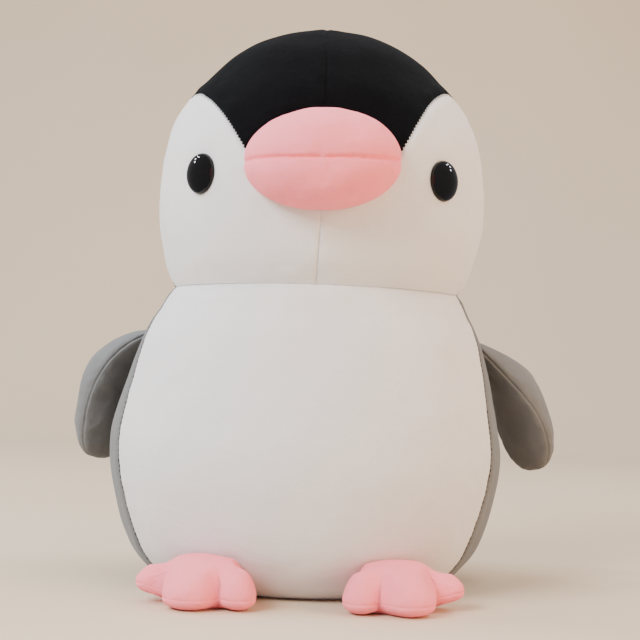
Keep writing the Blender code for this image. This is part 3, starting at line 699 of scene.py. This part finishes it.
def torso_seams():
    """Every torso seam: a search tree of its points, how deep it pulls, how wide."""
    curves = []
    for side, sign in SIDES:
        shares, turns = head_half(PEAK_HEIGHT + PEAK_SHIFT[side])
        net = HEAD.points(shares, turns * sign)[0].reshape(*shares.shape, 3)
        brow = net[FACE_ROWS, :FACE_CELLS + 1][::-1]
        curves.append((np.vstack([net[:FACE_ROWS + 1, FACE_CELLS], brow]), CHEEK_PULL))
    curves.append((net[:FACE_ROWS + 1, 0], CHIN_PULL))
    curves.append((np.vstack([net[FACE_ROWS:, 0], net[::-1, -1][1:]]), CREST_PULL))
    v = np.linspace(0.0, 1.0, 240)
    turn = side_turn(np.interp(v, BODY.share, BODY.height))
    for sign in (1.0, -1.0):
        curves.append((BODY.points(v, sign * turn)[0], SIDE_PULL))
    curves.append((BODY.points(v, v * 0.0 + 180.0)[0], SPINE_PULL))
    curves.append((BODY.points(v * 0.0 + 1.0, v * 360.0)[0], NECK_PULL))
    return [(tree_of(densify(curve)), *pull) for curve, pull in curves]


def settle_torso():
    """The whole torso as one closed skin, pressed out between all of its seams."""
    count = 144
    around = np.linspace(0.0, 360.0, count, endpoint=False)
    levels = [(BODY, share) for share in np.linspace(0.0, 1.0, 46)]
    levels += [(HEAD, share) for share in np.linspace(0.0, 1.0, 60)[1:-1]]
    rings = [lobe.points(np.full(count, share), around)[0] for lobe, share in levels]
    points = np.vstack(rings + [[[0.0, 0.0, 0.0]], [[0.0, 0.0, HEAD_PROFILE[-1][1]]]])
    hub = count * len(rings)
    faces = tube_faces(count, len(rings)) + flipped(fan_faces(count, 0, hub))
    faces += fan_faces(count, hub - count, hub + 1)
    v = np.linspace(0.0, 1.0, 90)
    side = side_turn(np.interp(v, BODY.share, BODY.height))
    lines = [BODY.points(v, sign * side)[0] for sign in (1.0, -1.0)]
    lines += [lobe.points(v, v * 0.0 + 180.0)[0] for lobe in (BODY, HEAD)]
    lines += [lobe.points(np.zeros(361), np.arange(361.0))[0] for lobe in (HEAD, BODY)]
    peak = HEAD.share_at(PEAK_HEIGHT)
    low = HEAD.share_at(BROW_HEIGHT)
    eye = HEAD.share_at(EYE_HEIGHT)
    rise = v * peak
    for sign in (1.0, -1.0):
        seam = cheek_turn(np.interp(rise, HEAD.share, HEAD.height))
        lines.append(HEAD.points(rise, sign * seam)[0])
        edge = brow_share(v, peak)
        turn = cheek_turn(np.interp(edge, HEAD.share, HEAD.height)) * v
        lines.append(HEAD.points(edge, sign * turn)[0])
        stem = sign * np.array([EYE_AZIMUTH, EYE_AZIMUTH + 1.0])
        lines.append(HEAD.points([eye, eye], stem)[0])
    lines.append(HEAD.points(v * low, v * 0.0)[0])
    lines.append(HEAD.points(low + (1.0 - low) * v, v * 0.0)[0])
    turn = np.linspace(0.0, 2 * np.pi, 120)
    x = BEAK_HALF_WIDTH * np.cos(turn)
    z = BEAK_HEIGHT + np.where(np.sin(turn) > 0.0, BEAK_UPPER, BEAK_LOWER) * np.sin(turn)
    lines.append(np.stack([x, HEAD.front_y(x, z), z], axis=1))
    sewn = np.vstack([densify(line, 0.002) for line in lines])
    return settle(points, faces, sewn, TORSO_SETTLE)


def head_half(peak_height):
    """Grid of (share, degrees) over half of the head, front to back."""
    peak = HEAD.share_at(peak_height)
    front = FACE_ROWS + BROW_ROWS
    rows = front + CROWN_ROWS
    across = ease(FACE_CELLS)
    edge = brow_share(across, peak)
    up_face = ease(FACE_ROWS)
    up_brow = ease(BROW_ROWS)
    up_rear = np.linspace(0.0, 1.0, front + 1)
    up_crown = np.linspace(0.0, 1.0, CROWN_ROWS + 1)
    back = ease(HOOD_CELLS)[1:]
    shares = np.zeros((rows + 1, FACE_CELLS + 1 + HOOD_CELLS))
    for i in range(rows + 1):
        if i <= FACE_ROWS:
            shares[i, :FACE_CELLS + 1] = edge * up_face[i]
        elif i <= front:
            shares[i, :FACE_CELLS + 1] = edge + (peak - edge) * up_brow[i - FACE_ROWS]
        if i <= front:
            cheek = up_face[min(i, FACE_ROWS)]
            shares[i, FACE_CELLS + 1:] = peak * (cheek + (up_rear[i] - cheek) * back)
        else:
            shares[i, :] = peak + (1.0 - peak) * up_crown[i - front]
    heights = np.interp(shares, HEAD.share, HEAD.height)
    seam = cheek_turn(np.minimum(heights, peak_height))
    turns = np.zeros_like(shares)
    turns[:, :FACE_CELLS + 1] = seam[:, :FACE_CELLS + 1] * across
    rear = seam[:, FACE_CELLS + 1:]
    turns[:, FACE_CELLS + 1:] = rear + (180.0 - rear) * back
    return shares, turns


def on_face(i, j):
    """Whether a cell of the head's grid is white face cloth."""
    return i < FACE_ROWS and j < FACE_CELLS


def on_hood(i, j):
    """Whether a cell of the head's grid is black hood cloth."""
    return not on_face(i, j)


def build_head():
    """Face and hood panels of both sides."""
    for side, sign in SIDES:
        shares, turns = head_half(PEAK_HEIGHT + PEAK_SHIFT[side])
        rows, columns = shares.shape
        points, normals = HEAD.points(shares, turns * sign)
        shaped = cloth_relief(points, normals)
        shaped[-columns:] = shaped[-columns:].mean(axis=0)
        hidden = ("hood_panel_left", "head_filling") if sign > 0.0 else ("hood_panel_right",)
        for name, test, cloth, nodes in (
            ("face_cover_", on_face, WHITE, ("face_panel_" + side,)),
            ("hood_cover_", on_hood, BLACK, hidden),
        ):
            faces = grid_faces(rows, columns, test)
            kept, clean = compact(shaped, faces if sign > 0.0 else flipped(faces))
            item = add_mesh(name + side, kept, clean, cloth, "torso")
            thicken(item)
            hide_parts(*nodes)
        first = int(FACE_CELLS * 0.30)
        nets = shaped.reshape(rows, columns, 3), normals.reshape(rows, columns, 3)
        line, out = [np.vstack([net[:FACE_ROWS, FACE_CELLS],
                                net[FACE_ROWS, first:FACE_CELLS + 1][::-1]]) for net in nets]
        stitches("cheek_stitches_" + side, line, out, CHEEK_STITCH, sign, THREAD_WHITE)
        line, out = [net[:FACE_ROWS // 2, 0] for net in nets]
        stitches("chin_stitches_" + side, line, out, CHIN_STITCH, 1.0, THREAD_WHITE)


def build_body():
    """Belly, back and base panels."""
    v = ease(BODY_ROWS, 0.35)
    heights = np.interp(v, BODY.share, BODY.height)
    seam = side_turn(heights)[:, None]
    belly_turn = seam * (2.0 * ease(BELLY_CELLS) - 1.0)[None, :]
    back_turn = seam + (180.0 - seam) * ease(BACK_CELLS)[None, :]
    layouts = []
    for turns in (belly_turn, back_turn):
        shares = np.repeat(v[:, None], turns.shape[1], axis=1)
        layouts.append((turns.shape, *BODY.points(shares, turns)))
    front_rim, back_rim = [net.reshape(*shape, 3)[0] for shape, net, _ in layouts]
    edge = np.vstack([front_rim, back_rim[1:], mirrored(back_rim)[::-1]])[:-1]
    pieces = (
        ("belly_cover", layouts[0], 1.0, WHITE, ("belly_panel", "body_filling")),
        ("back_cover_left", layouts[1], 1.0, GREY, ("back_panel_left",)),
        ("back_cover_right", layouts[1], -1.0, GREY, ("back_panel_right",)),
    )
    for name, (shape, points, normals), sign, cloth, nodes in pieces:
        faces = grid_faces(*shape)
        if sign < 0.0:
            points, normals = mirrored(points), mirrored(normals)
            faces = flipped(faces)
        shaped = cloth_relief(points, normals)
        shaped[:, 2] = np.maximum(shaped[:, 2], 0.0)
        item = add_mesh(name, shaped, faces, cloth, "torso")
        thicken(item)
        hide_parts(*nodes)
        if cloth is GREY:
            line, out = [net.reshape(*shape, 3)[9:-2, 0] for net in (shaped, normals)]
            # Dark side stitches: real thread, with painted shade of the seam groove in its
            # colour.
            stitches(name.replace("cover", "stitches"), line, out, SIDE_STITCH, sign,
                     THREAD_WITH_PAINTED_SHADE)

    count = len(edge)
    points = np.vstack([edge * share for share in BASE_RINGS] + [np.zeros((1, 3))])
    points[:, 2] = BASE_REST
    hub = count * len(BASE_RINGS)
    faces = flipped(tube_faces(count, len(BASE_RINGS)) + fan_faces(count, hub - count, hub))
    base = add_mesh("base_cover", *compact(points, faces), WHITE, "torso")
    thicken(base)
    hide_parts("base_panel")


# ------------------------------------------------------------------ beak
def build_beak():
    """The pink pillow beak, pinched along its seam and tucked in at the face."""
    around = BEAK_AROUND
    turn = np.linspace(0.0, 2 * np.pi, around, endpoint=False)
    rise = np.linspace(-0.10, 1.0, BEAK_CLIMB + 1)
    tall = np.where(np.sin(turn) > 0.0, BEAK_UPPER, BEAK_LOWER)
    across = BEAK_HALF_WIDTH * np.cos(turn)
    up = tall * np.sin(turn)
    rim = HEAD.front_y(across, BEAK_HEIGHT + up)
    rows = []
    for share in rise:
        angle = max(share, 0.0) * np.pi / 2
        shrink = math.cos(angle) ** 0.80 if share < 1.0 else 0.0
        shrink *= 1.0 - 0.030 * math.exp(-((share + 0.02) / 0.08) ** 2)
        y = rim + (BEAK_TIP_Y - rim) * math.sin(angle) ** 0.97
        if share < 0.0:
            y = rim - share * 0.045
        rows.append(np.stack([across * shrink, y, BEAK_HEIGHT + up * shrink], axis=1))
    points = np.vstack(rows)
    level = np.repeat(smooth_step(rise / 0.22), around)
    reach = np.clip((-points[:, 1] - 0.105) / 0.055, 0.0, 1.0)
    droop = BEAK_DROOP * reach * reach
    points[:, 2] -= droop
    off = points[:, 2] - (BEAK_HEIGHT - droop)
    away = points - np.array([0.0, BEAK_CENTRE_Y, BEAK_HEIGHT])
    away /= np.linalg.norm(away, axis=1)[:, None]
    wander = 0.0004 * lumps(points, 0.012, BEAK_SEED, (1.0, 0.2, 0.0))
    pinch = 0.0024 * level * np.exp(-((off - wander) / 0.0016) ** 2)
    pinch += 0.0010 * level * np.exp(-(off / 0.0065) ** 2)
    pinch *= 1.0 + 0.18 * lumps(points, 0.0045, BEAK_SEED + 1)
    gather = 0.0005 * level * np.exp(-(off / 0.009) ** 2)
    gather *= lumps(points, 0.0050, BEAK_SEED + 2, (1.0, 1.0, 0.25))
    soft = 0.0004 * lumps(points, 0.030, BEAK_SEED + 3)
    hub = len(points)
    faces = tube_faces(around, BEAK_CLIMB + 1) + flipped(fan_faces(around, 0, hub))
    skin = None
    closed = np.vstack([points, points[:around].mean(axis=0)[None, :]])
    sewn = np.vstack([points[np.abs(off) < 0.0012], points[:around * BEAK_SEWN_RINGS]])
    skin = settle(closed, faces, sewn, BEAK_SETTLE)
    points = points + away * (soft + gather - pinch)[:, None] + carried(points, skin)
    points[:, 2] += points[:, 0] * math.tan(math.radians(BEAK_TILT))
    points = np.vstack([points, points[:around].mean(axis=0)[None, :]])
    points[hub - around:hub] = points[hub - around:hub].mean(axis=0)
    kept, clean = compact(lean(points), faces)
    item = add_mesh("beak_cover", kept, clean, PINK, "torso")
    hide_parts("beak_upper", "beak_lower", "beak_filling")


# ------------------------------------------------------------------ eyes
def build_eyes():
    """Domed eyes with a rolled edge, a flat back and a short post."""
    profile = []
    for n in range(25):
        angle = math.pi / 2 * n / 24
        profile.append((math.sin(angle), EYE_BULGE * math.cos(angle)))
    profile += EYE_BACK
    sides = 64
    for side, sign in SIDES:
        place = eye_place(sign) @ Matrix.Translation((0.0, 0.0, -EYE_SINK))
        points = []
        faces = []
        rings = []
        for radius, height in profile:
            if radius < 1e-6:
                rings.append([len(points)])
                points.append(place @ Vector((0.0, 0.0, height)))
                continue
            rings.append(list(range(len(points), len(points) + sides)))
            for n in range(sides):
                turn = 2 * math.pi * n / sides
                spot = Vector((radius * EYE_HALF_WIDTH * math.cos(turn),
                               radius * EYE_HALF_HEIGHT * math.sin(turn), height))
                points.append(place @ spot)
        for upper, lower in zip(rings, rings[1:]):
            for n in range(sides):
                m = (n + 1) % sides
                if len(upper) == 1:
                    faces.append((upper[0], lower[n], lower[m]))
                elif len(lower) == 1:
                    faces.append((upper[m], upper[n], lower[0]))
                else:
                    faces.append((upper[n], lower[n], lower[m], upper[m]))
        item = add_mesh("eye_dome_" + side, points, faces, EYE, "torso")
        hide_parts("eye_" + side, "eye_washer_" + side)


# ------------------------------------------------------------------ padded leaves
def swell(gap, reach):
    """Height share of an inflated pad at a distance in from its seam."""
    share = np.clip(gap / reach, 0.0, 1.0)
    return np.sqrt(1.0 - (1.0 - share) ** 2)


def outline_rings(outline, centre, rings):
    """Rings of an outline drawn in to its centre, the last one a single point."""
    rows = [centre + (outline - centre) * share for share in rings]
    return np.vstack(rows + [centre[None, :]])


def pad_mesh(outline, centre, top, bottom, reach, seed, groove_depth):
    """Both sides of a pad sewn along an outline; top and bottom give heights."""
    count = len(outline)
    pull = reach / PAD_SIZE
    rim_shares = [1.0 - pull * (1.0 - math.cos(math.radians(a))) for a in RING_TURNS]
    shares = rim_shares + list(np.linspace(rim_shares[-1], 0.0, 24)[1:-1])
    flat = outline_rings(outline, centre, shares)
    ahead = np.roll(outline, -1, axis=0) - np.roll(outline, 1, axis=0)
    ahead /= np.linalg.norm(ahead, axis=1)[:, None]
    edge_out = np.stack([ahead[:, 1], -ahead[:, 0]], axis=1)
    edge_out *= np.sign(((outline - centre) * edge_out).sum(axis=1))[:, None]
    radial = ((outline - centre) * edge_out).sum(axis=1)
    near = np.concatenate([(1.0 - share) * radial for share in shares] + [[radial.mean()]])
    edge = densify(np.hstack([np.vstack([outline, outline[:1]]),
                              np.zeros((count + 1, 1))]), 0.0005)
    spread = np.hstack([flat, np.zeros((len(flat), 1))])
    far = nearest(spread, edge)
    mix = np.clip((far - 0.0010) / 0.0020, 0.0, 1.0)
    gap = near * (1.0 - mix) + far * mix
    ways = np.vstack([np.tile(edge_out, (len(shares), 1)), np.zeros((1, 2))])
    soft = lumps(spread, 0.026, seed + 1)
    sides = []
    for height in (top(flat, gap, soft), bottom(flat, gap, soft)):
        height[:count] = 0.0
        arc = np.abs(height) + gap
        pucker = 1.0 + 0.40 * lumps(spread, 0.0050, seed + 2)
        groove = groove_depth * pucker * np.exp(-(arc / 0.0010) ** 2)
        crease = lumps(spread, 0.0050, seed) * np.exp(-(arc / 0.010) ** 2)
        crease *= np.clip(arc / 0.003, 0.0, 1.0)
        placed = flat - ways * (groove - 0.0007 * crease)[:, None]
        sides.append(np.hstack([placed, height[:, None]]))
    hub = count * len(shares)
    faces = tube_faces(count, len(shares)) + fan_faces(count, hub - count, hub)
    faces += flipped([tuple(k + len(flat) for k in face) for face in faces])
    placed = np.vstack(sides)
    kept, clean = compact(placed, faces)
    placed = placed + carried(placed, settle(kept, clean, edge, PAD_SETTLE))
    placed[len(flat):len(flat) + count] = placed[:count]
    return placed, faces


def joint_of(name):
    """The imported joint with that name."""
    return next(j for j in frame["record"]["behaviour"]["joints"] if j["name"] == name)


def wing_outline(length, count=220):
    """Leaf outline with a blunt root and a broad round tip."""
    turn = np.linspace(0.0, 2 * np.pi, count, endpoint=False)
    along = 0.5 - 0.5 * np.cos(turn)
    spread = 0.60 + 0.40 * np.sin(np.pi / 2 * np.minimum(along / 0.60, 1.0))
    chord = WING_HALF_CHORD * spread * np.abs(np.sin(turn)) ** 0.72
    chord *= np.where(turn < np.pi, 1.0, -1.0)
    return np.stack([along * length, chord], axis=1)


def wing_spine(side):
    """The wing's length, and functions of the share along it."""
    rows = np.array(WING_SPINE[side])
    travel = travelled(rows)
    share = travel / travel[-1]
    out = np.polyfit(share, rows[:, 0], 3)
    drop = np.polyfit(share, rows[:, 1], 3)
    out[-1] = 0.0
    drop[-1] = 0.0
    return travel[-1], out, drop


def build_wing(side, sign):
    """A stuffed wing placed from its root at the wing's flap joint."""
    root = Vector(joint_of("wing_%s_flap" % side)["pos_m"])
    yaw = math.radians(WING_YAW)
    outward = np.array([sign * math.cos(yaw), math.sin(yaw), 0.0])
    forward = np.array([sign * math.sin(yaw), -math.cos(yaw), 0.0])
    upward = np.array([0.0, 0.0, 1.0])
    length, out, drop = wing_spine(side)
    outline = wing_outline(length)
    centre = np.array([length * 0.52, 0.0])

    def top(flat, gap, soft):
        taper = 0.30 + 0.70 * smooth_step(flat[:, 0] / length / 0.42)
        return WING_OUTER * taper * swell(gap, WING_EDGE) * (1.0 + 0.07 * soft)

    def bottom(flat, gap, soft):
        return -WING_INNER * swell(gap, WING_EDGE) * (1.0 + 0.12 * soft)

    local, faces = pad_mesh(outline, centre, top, bottom, WING_EDGE, WING_SEED + sign,
                            WING_GROOVE)
    share = np.clip(local[:, 0] / length, 0.0, 1.0)
    turn = np.radians(table_curve(WING_TURN[side], 3)(share))
    across = local[:, 1] * np.cos(turn) - local[:, 2] * np.sin(turn)
    thick = local[:, 1] * np.sin(turn) + local[:, 2] * np.cos(turn)
    slope_out = np.polyval(np.polyder(out), share)
    slope_drop = np.polyval(np.polyder(drop), share)
    size = np.hypot(slope_out, slope_drop)
    normal_out, normal_up = slope_drop / size, slope_out / size
    placed = np.array(root) + np.outer(np.polyval(out, share) + thick * normal_out, outward)
    placed += np.outer(thick * normal_up - np.polyval(drop, share), upward)
    placed += np.outer(across, forward)
    placed[:, 0] += LEAN * 0.40
    if sign < 0.0:
        faces = flipped(faces)
    kept, clean = compact(placed, faces)
    item = add_mesh("wing_cover_" + side, kept, clean, GREY, None)
    hang = Vector(outward) * WING_HANG[0] + Vector(upward) * WING_HANG[1]
    start, end = [root + hang * far for far in WING_BLEND]
    tuple(start)
    tuple(end)
    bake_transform(item)
    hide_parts(*["wing_%s_%s" % (side, part) for part in ("outer", "inner", "filling")])


def foot_outline(count=260):
    """Three-toed outline, x forward from the sewn rear edge."""
    centre = np.array([PALM_BACK, 0.0])
    points = []
    for n in range(count):
        turn = 2 * math.pi * n / count
        way = np.array([math.cos(turn), math.sin(turn)])
        length = PALM_FRONT if way[0] > 0.0 else PALM_BACK
        reach = (1.0 / math.hypot(way[0] / length, way[1] / PALM_SIDE)) ** TOE_JOIN
        for forward, aside, radius in TOES:
            toe = np.array([forward, aside]) - centre
            near = way @ toe
            miss = toe @ toe - near * near
            if near > 0.0 and miss < radius * radius:
                reach += (near + math.sqrt(radius * radius - miss)) ** TOE_JOIN
        points.append(centre + way * reach ** (1.0 / TOE_JOIN))
    return np.array(points), centre


def build_foot(side, sign):
    """A puffy three-toed foot sewn on along its rear edge."""
    root = Vector(joint_of("foot_%s_bend" % side)["pos_m"])
    turn = math.radians(FOOT_TOE_OUT)
    forward = Vector((sign * math.sin(turn), -math.cos(turn), 0.0))
    aside = Vector((sign * math.cos(turn), math.sin(turn), 0.0))
    outline, centre = foot_outline()

    def rise(flat):
        away = np.linalg.norm((flat - np.array(FOOT_CROWN)) / np.array(FOOT_CROWN_SPREAD), axis=1)
        height = FOOT_TOE_HEIGHT + FOOT_CROWN_HEIGHT * np.exp(-away ** 2)
        height *= 1.0 - 0.30 * smooth_step((flat[:, 1] - 0.018) / 0.022)
        return height * (0.30 + 0.70 * smooth_step((flat[:, 0] + 0.004) / 0.026))

    def top(flat, gap, soft):
        reach = 0.0105 + 0.0040 * smooth_step((flat[:, 1] + 0.016) / 0.030)
        return rise(flat) * swell(gap, reach) * (1.0 + 0.05 * soft)

    def bottom(flat, gap, soft):
        return -FOOT_SEAM * swell(gap, FOOT_SOLE_EDGE)

    local, faces = pad_mesh(outline, centre, top, bottom, FOOT_EDGE, FOOT_SEED + sign,
                            FOOT_GROOVE)
    lift = FOOT_OUTER_LIFT * smooth_step((local[:, 1] - 0.020) / 0.022)
    local[:, 2] += FOOT_SEAM - root.z + lift
    axes = np.array([forward, aside, Vector((0.0, 0.0, 1.0))])
    placed = local @ axes + np.array(root)
    placed[:, 2] = np.maximum(placed[:, 2], 0.0)
    if np.linalg.det(axes) < 0.0:
        faces = flipped(faces)
    kept, clean = compact(placed, faces)
    item = add_mesh("foot_cover_" + side, kept, clean, PINK, None)
    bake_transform(item)
    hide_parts(*["foot_%s_%s" % (side, part) for part in ("upper", "sole", "filling")])


# ------------------------------------------------------------------ stage
def area_light(name, place, aim, size, power, colour):
    """A soft rectangular light aimed at a point."""
    lamp = bpy.data.lights.new(name, "AREA")
    lamp.shape = "RECTANGLE"
    lamp.size, lamp.size_y = size
    lamp.energy = power
    lamp.color = colour
    item = bpy.data.objects.new(name, lamp)
    item.location = place
    way = Vector(aim) - Vector(place)
    item.rotation_euler = way.to_track_quat("-Z", "Y").to_euler()
    item.visible_glossy = max(size) <= SPOT_SIZE
    bpy.context.collection.objects.link(item)
    return item


def build_stage():
    """Pale floor, soft light and the camera."""
    profile = [(-SWEEP_REACH, 0.0), (SWEEP_BEND_Y, 0.0)]
    for n in range(1, 25):
        angle = math.pi / 2 * n / 24
        profile.append((SWEEP_BEND_Y + SWEEP_BEND_RADIUS * math.sin(angle),
                        SWEEP_BEND_RADIUS * (1.0 - math.cos(angle))))
    profile.append((SWEEP_BEND_Y + SWEEP_BEND_RADIUS, SWEEP_REACH))
    corners = []
    for y, z in profile:
        corners += [(-SWEEP_HALF_WIDTH, y, z), (SWEEP_HALF_WIDTH, y, z)]
    faces = [(2 * n, 2 * n + 1, 2 * n + 3, 2 * n + 2) for n in range(len(profile) - 1)]
    sweep = add_mesh("floor_sweep", corners, faces, floor_paint("floor_paint"), None)
    sweep.visible_glossy = False
    world = bpy.data.worlds.new("studio")
    world.use_nodes = True
    sky = world.node_tree.nodes["Background"]
    sky.inputs["Color"].default_value = SKY_COLOUR
    sky.inputs["Strength"].default_value = SKY_STRENGTH
    bpy.context.scene.world = world
    for lamp in LAMPS:
        area_light(*lamp)
    for n, place in enumerate(SPOTS):
        power = SPOT_POWER["right" if place[0] < 0.0 else "left"]
        area_light("spot_%d" % n, place, (0.0, 0.0, 0.3), (SPOT_SIZE, SPOT_SIZE), power,
                   SPOT_COLOUR)

    lens = bpy.data.cameras.new("camera")
    lens.lens = CAMERA_LENS
    lens.sensor_width = 36.0
    camera = bpy.data.objects.new("camera", lens)
    camera.location = (CAMERA_X, -CAMERA_DISTANCE, CAMERA_HEIGHT)
    tilt = Matrix.Rotation(math.radians(90.0 + CAMERA_PITCH), 4, "X")
    roll = Matrix.Rotation(math.radians(-CAMERA_ROLL), 4, "Z")
    camera.rotation_euler = (tilt @ roll).to_euler()
    bpy.context.collection.objects.link(camera)
    bpy.context.scene.camera = camera


TORSO_SKIN = settle_torso()
SEAMS += torso_seams()
build_head()
build_body()
build_beak()
build_eyes()
for which, way in SIDES:
    build_wing(which, way)
    build_foot(which, way)
build_stage()
